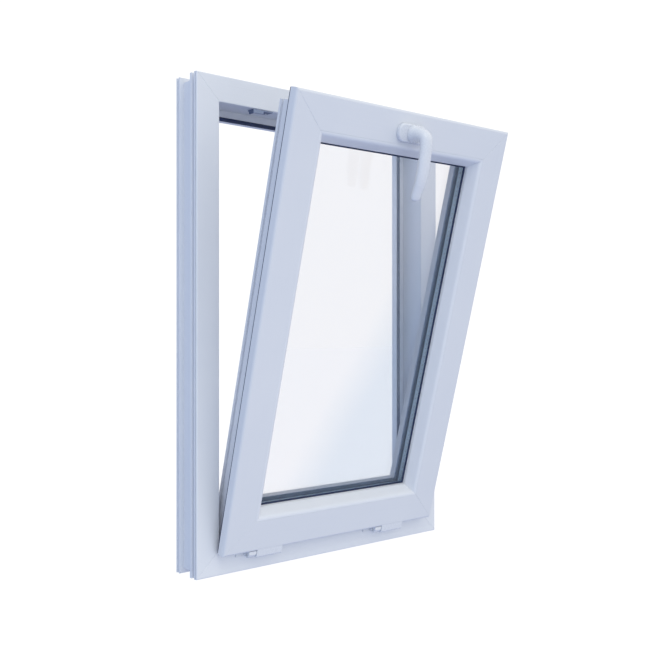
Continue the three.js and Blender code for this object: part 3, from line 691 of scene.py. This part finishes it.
softened("lock_faceplate", "sash", zinc)
for side in ("left", "right"):
    softened(f"lock_cam_{side}", "lock_rod", zinc)
    softened(f"lock_keep_{side}", "frame", keep_zinc_in_painted_shade)

# ---- Drain caps -------------------------------------------------------------------------
# Two caps moulded in white PVC. They clip over the drain slots in the sill's outdoor face and
# keep driven rain from running in.

moulded_pvc = pvc_look("moulded_pvc", False)
for side in ("left", "right"):
    softened(f"drain_cap_{side}", "frame", moulded_pvc, edge=0.6)

# ---- Hinges -----------------------------------------------------------------------------
# Cast leaves powder-coated white, one screwed to the sill's rebate and one under the sash's
# lip. A steel pin joins each pair.

white_coat, look = new_look("white_coating")
place = look.place()
peel = look.noise(place, 420, 2)
cloud = look.noise(place, 14, 3)
look.shade({
    "Base Color": look.mix(cloud, (0.74, 0.765, 0.81), (0.77, 0.79, 0.83)),
    "Roughness": look.between(peel, 0.3, 0.7, 0.2, 0.32),
    "Normal": look.bump(peel, 0.00004, 0.4),
    "Coat Weight": 0.2,
    "Coat Roughness": 0.15,
})
# The sash leaf follows the rounded lip that it lies under. Its outline and its pin hole are
# lines of [depth, height] points.
LEAF_FRONT = -21.45
LEAF_BACK = -6.5
LEAF_BOTTOM = 26
LEAF_TOP = 39.85
LIP_CLEARANCE = 0.1
LIP_SWEEP = 74
LIP_STEPS = 7
lip_centre = (SASH_FACE + SASH_EDGE, SASH["Base"] + SASH_EDGE)
lip_fit = SASH_EDGE + LIP_CLEARANCE
lip_arc = []
for step in range(LIP_STEPS + 1):
    turn = math.radians(90 - LIP_SWEEP * step / LIP_STEPS)
    lip_arc.append((
        lip_centre[0] - lip_fit * math.cos(turn), lip_centre[1] - lip_fit * math.sin(turn)))
leaf_outline = rounded([
    (LEAF_FRONT, LEAF_BOTTOM, 4), (LEAF_BACK, LEAF_BOTTOM, 1.5), (LEAF_BACK, LEAF_TOP, 0.5),
    *lip_arc], 8)
PIN_PLACE = (-13, 32.5)
PIN_HOLE = 3.3
PIN_SIDES = 32
PAST_THE_LEAF = 5
pin_turns = [2 * math.pi * side / PIN_SIDES for side in range(PIN_SIDES)]
pin_hole = [
    (PIN_PLACE[0] + PIN_HOLE * math.cos(turn), PIN_PLACE[1] + PIN_HOLE * math.sin(turn))
    for turn in pin_turns]


def closed_mesh(name, points, faces):
    """A mesh whose faces all look outwards."""
    mesh = new_mesh(name, points, faces)
    shape = bmesh.new()
    shape.from_mesh(mesh)
    bmesh.ops.recalc_face_normals(shape, faces=shape.faces)
    shape.to_mesh(mesh)
    shape.free()
    return mesh


def prism(name, outline, x_from, x_to):
    """A closed bar along X with an outline of [depth, height] points."""
    count = len(outline)
    points = [(x, depth, height) for x in (x_from, x_to) for depth, height in outline]
    faces = [tuple(range(count)), tuple(range(2 * count - 1, count - 1, -1))]
    faces.extend((j, count + j, count + (j + 1) % count, (j + 1) % count) for j in range(count))
    return closed_mesh(name, points, faces)


def cut_away(piece, cutter):
    """Takes the cutter's shape out of a piece and removes the cutter."""
    cut = piece.modifiers.new("cut", "BOOLEAN")
    cut.object = cutter
    cut.operation = "DIFFERENCE"
    cut.solver = "EXACT"
    cut.use_self = True
    result = piece.evaluated_get(bpy.context.evaluated_depsgraph_get())
    piece.data = bpy.data.meshes.new_from_object(result)
    piece.modifiers.clear()
    bpy.data.objects.remove(cutter)


for side in ("left", "right"):
    softened(f"hinge_frame_leaf_{side}", "frame", white_coat, edge=0.4)
    leaf_node = f"hinge_sash_leaf_{side}"
    left, right = (corner.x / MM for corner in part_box(leaf_node))
    leaf = add_object(f"sash_leaf_{side}", prism("leaf", leaf_outline, left, right))
    drill = prism("pin_hole", pin_hole, left - PAST_THE_LEAF, right + PAST_THE_LEAF)
    cut_away(leaf, add_object("pin_hole", drill))
    leaf.data.materials.append(white_coat)
    finish_piece(leaf, "sash", [leaf_node])

# ---- Screws -----------------------------------------------------------------------------
# Zinc-plated pan heads with a cross recess: two to each leaf on the sill, two to each keep
# and four along the faceplate.

HEAD_PROFILE = [
    (0, 1), (0.45, 0.97), (0.75, 0.82), (0.93, 0.5), (1, 0.12), (0.98, 0), (0.44, 0), (0.44, -3.5),
    (0, -3.5),
]
HEAD_SIDES = 24
ARM_SIZE = (1.15, 0.2, 1, 1)
ARM_HEIGHT = 0.95


def lathed(name, profile, sides):
    """A closed shape turned about Z from [radius, height] points that start and end on it."""
    points = [(0, 0, profile[0][1])]
    rings = profile[1:-1]
    for radius, height in rings:
        for side in range(sides):
            turn = 2 * math.pi * side / sides
            points.append((radius * math.cos(turn), radius * math.sin(turn), height))
    points.append((0, 0, profile[-1][1]))
    faces = []
    for side in range(sides):
        after = (side + 1) % sides
        faces.append((0, 1 + side, 1 + after))
        for ring in range(len(rings) - 1):
            here = 1 + ring * sides
            faces.append((here + side, here + sides + side, here + sides + after, here + after))
        last = 1 + (len(rings) - 1) * sides
        faces.append((last + side, len(points) - 1, last + after))
    return new_mesh(name, points, faces)


head = add_object("screw_head", lathed("screw_head", HEAD_PROFILE, HEAD_SIDES))
arm = Matrix.Translation((0, 0, ARM_HEIGHT)) @ Matrix.Diagonal(ARM_SIZE)
cutter_shape = bmesh.new()
for turn in (0, math.pi / 2):
    bmesh.ops.create_cube(cutter_shape, size=1, matrix=Matrix.Rotation(turn, 4, "Z") @ arm)
cutter_mesh = bpy.data.meshes.new("cross")
cutter_shape.to_mesh(cutter_mesh)
cutter_shape.free()
cross = add_object("cross", cutter_mesh)
cut_away(head, cross)

screws, given = new_tree("screws", {
    "Screw": "Object", "Radius": "Float", "Height": "Float", "Tip Over": "Float", "Seed": "Int",
    "Material": "Material",
})
shape = screws.node("GeometryNodeObjectInfo", None, {"Object": given["Screw"]})["Geometry"]
HALF_TURN = (0, 0, math.pi)
spin = screws.node("FunctionNodeRandomValue", {"data_type": "FLOAT_VECTOR"}, {
    0: (0, 0, 0), 1: HALF_TURN, "Seed": given["Seed"]})
size = screws.node("ShaderNodeCombineXYZ", None, {
    0: given["Radius"], 1: given["Radius"], 2: given["Height"]})
tip = screws.node("ShaderNodeCombineXYZ", None, {0: given["Tip Over"]})
aim = screws.node("ShaderNodeVectorMath", {"operation": "ADD"}, {0: spin, 1: tip})
placed = screws.node("GeometryNodeInstanceOnPoints", None, {
    "Points": given, "Instance": shape, "Rotation": aim, "Scale": size})
end_tree(screws, placed, given["Material"])


def screw_row(name, places, radius, height, body, upside_down=False, stands_for=()):
    """Screws at [x, depth, height] places of a body drawn closed."""
    made = run_tree(name, new_mesh(name, places), screws, {
        "Screw": head, "Radius": radius, "Height": height, "Tip Over": math.pi * upside_down,
        "Seed": 4, "Material": zinc,
    })
    finish_piece(made, body, stands_for, smooth=32)


def screw_nodes(part):
    return [f"{part}_screw_{side}_{number}" for side in ("left", "right") for number in (1, 2)]


def middle(node):
    low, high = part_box(node)
    return (low + high) / 2 / MM


# The depth and height under the heads of each kind.
ON_SILL_LEAF = (10, 50.8)
ON_KEEP = (17, 849.4)
ON_FACEPLATE = (9.5, 839.7)
FACEPLATE_PLACES = (-206, -90, 90, 206)
hinge_screws = screw_nodes("hinge")
keep_screws = screw_nodes("keep")
screw_row("hinge_screws", [(middle(node).x, *ON_SILL_LEAF) for node in hinge_screws], 3.6, 1.8,
          "frame", stands_for=hinge_screws)
screw_row("keep_screws", [(middle(node).x, *ON_KEEP) for node in keep_screws], 2.9, 1.3,
          "frame", True, keep_screws)
screw_row("faceplate_screws", [(x, *ON_FACEPLATE) for x in FACEPLATE_PLACES], 3.2, 0.7, "sash")
bpy.data.objects.remove(head)

# ---- Handle -----------------------------------------------------------------------------
# A cast aluminium lever with a smooth white coating, on an oblong plate whose cover clips
# over the screws. The lever is a loft of ovals along a curve that bends down at its elbow.

HANDLE_HEIGHT = 822
LEVER_PATH = [
    (-29.8, 0), (-40, 0), (-52.4, -0.6), (-60.6, -4), (-64.8, -13.6), (-67.3, -34), (-68.8, -56),
    (-68, -80), (-64, -100), (-61, -115),
]
LEVER_OVALS = [  # share of the length, half width, half thickness
    (0, 16, 16), (0.03, 15.6, 15.6), (0.07, 13.6, 13.6), (0.14, 12.8, 12.6), (0.24, 12.5, 10.8),
    (0.34, 12.6, 9.2), (0.5, 13, 8.6), (0.7, 12.6, 8.2), (0.88, 11.2, 7.4), (0.96, 10, 6.6),
    (0.985, 8, 5), (1, 4.5, 2.6),
]


def curve_through(points, steps=16):
    """A smooth line through points, without overshoot where they are unevenly spaced."""
    points = [Vector(point) for point in points]
    points = [points[0] * 2 - points[1], *points, points[-1] * 2 - points[-2]]
    line = []
    for p0, p1, p2, p3 in zip(points, points[1:], points[2:], points[3:]):
        d0, d1, d2 = (math.sqrt((b - a).length) for a, b in ((p0, p1), (p1, p2), (p2, p3)))
        m1 = ((p1 - p0) / d0 - (p2 - p0) / (d0 + d1) + (p2 - p1) / d1) * d1
        m2 = ((p2 - p1) / d1 - (p3 - p1) / (d1 + d2) + (p3 - p2) / d2) * d1
        for step in range(steps):
            t = step / steps
            line.append(p1 * (2 * t**3 - 3 * t**2 + 1) + m1 * (t**3 - 2 * t**2 + t)
                        + p2 * (3 * t**2 - 2 * t**3) + m2 * (t**3 - t**2))
    return line + [points[-2]]


def interpolated(keys, rows, at):
    """The row of values at a place between keys."""
    for index in range(len(keys) - 2, -1, -1):
        if at >= keys[index]:
            share = (at - keys[index]) / (keys[index + 1] - keys[index])
            return rows[index].lerp(rows[index + 1], share)
    return rows[0]


def loft(name, rings, tip):
    """Joins rings of points and closes both ends."""
    count = len(rings[0])
    points = [point for ring in rings for point in ring]
    faces = [tuple(reversed(range(count)))]
    for ring in range(len(rings) - 1):
        here = ring * count
        for side in range(count):
            after = (side + 1) % count
            faces.append((here + side, here + after, here + count + after, here + count + side))
    last = (len(rings) - 1) * count
    points.append(tip)
    faces.extend((last + side, last + (side + 1) % count, len(points) - 1) for side in range(count))
    return closed_mesh(name, points, faces)


LEVER_RINGS = 96
LEVER_SIDES = 48
RING_CROWDING = 1.25  # above 1, the rings stand closer together towards the tip
LAST_PLACE = 0.99999
LOOK_AHEAD = 0.5  # how far each way the direction of the lever is taken
TIP_OVERHANG = 0.6
spine = curve_through(LEVER_PATH)
reached = [0.0]
for before, after in zip(spine, spine[1:]):
    reached.append(reached[-1] + (after - before).length)
ovals = curve_through(LEVER_OVALS, 6)
rings = []
for number in range(LEVER_RINGS + 1):
    share = 1 - (1 - number / LEVER_RINGS) ** RING_CROWDING
    at = min(share, LAST_PLACE) * reached[-1]
    here = interpolated(reached, spine, at)
    ahead = interpolated(reached, spine, min(at + LOOK_AHEAD, reached[-1]))
    along = (ahead - interpolated(reached, spine, at - LOOK_AHEAD)).normalized()
    oval = interpolated([row.x for row in ovals], ovals, share)
    ring = []
    for side in range(LEVER_SIDES):
        turn = 2 * math.pi * side / LEVER_SIDES
        off = math.sin(turn) * oval.z
        height = HANDLE_HEIGHT + here.y + along.x * off
        ring.append((math.cos(turn) * oval.y, here.x - along.y * off, height))
    rings.append(ring)
tip = (0, spine[-1].x, HANDLE_HEIGHT + spine[-1].y - TIP_OVERHANG)
lever_mesh = loft("lever", rings, tip)
lever_mesh.materials.append(white_coat)
lever = add_object("lever", lever_mesh)
finish_piece(lever, "handle", ["handle_lever"], smooth=60)

PLATE_HALF_LENGTH = 35
PLATE_HALF_HEIGHT = 16.5
PLATE_CORNER = 15
PLATE_BACK = -21.8
PLATE_FRONT = -29.5
BACK_CHAMFER = 0.25
EDGE_RADIUS = 3
EDGE_STEPS = 8
layers = [
    (PLATE_BACK, BACK_CHAMFER), (PLATE_BACK - BACK_CHAMFER, 0), (PLATE_FRONT + EDGE_RADIUS, 0)]
for step in range(1, EDGE_STEPS + 1):
    turn = math.pi / 2 * step / EDGE_STEPS
    depth_here = PLATE_FRONT + EDGE_RADIUS * (1 - math.sin(turn))
    layers.append((depth_here, EDGE_RADIUS * (1 - math.cos(turn))))
rings = []
for plate_depth, inset in layers:
    wide = PLATE_HALF_LENGTH - inset
    tall = PLATE_HALF_HEIGHT - inset
    corner = PLATE_CORNER - inset
    outline = rounded([
        (-wide, -tall, corner), (wide, -tall, corner), (wide, tall, corner),
        (-wide, tall, corner)], 12)
    rings.append([(x, plate_depth, HANDLE_HEIGHT + z) for x, z in outline])
plate_mesh = loft("handle_plate", rings, (0, PLATE_FRONT, HANDLE_HEIGHT))
plate_mesh.materials.append(white_coat)
handle_plate = add_object("handle_plate", plate_mesh)
finish_piece(handle_plate, "sash", ["handle_cover"])
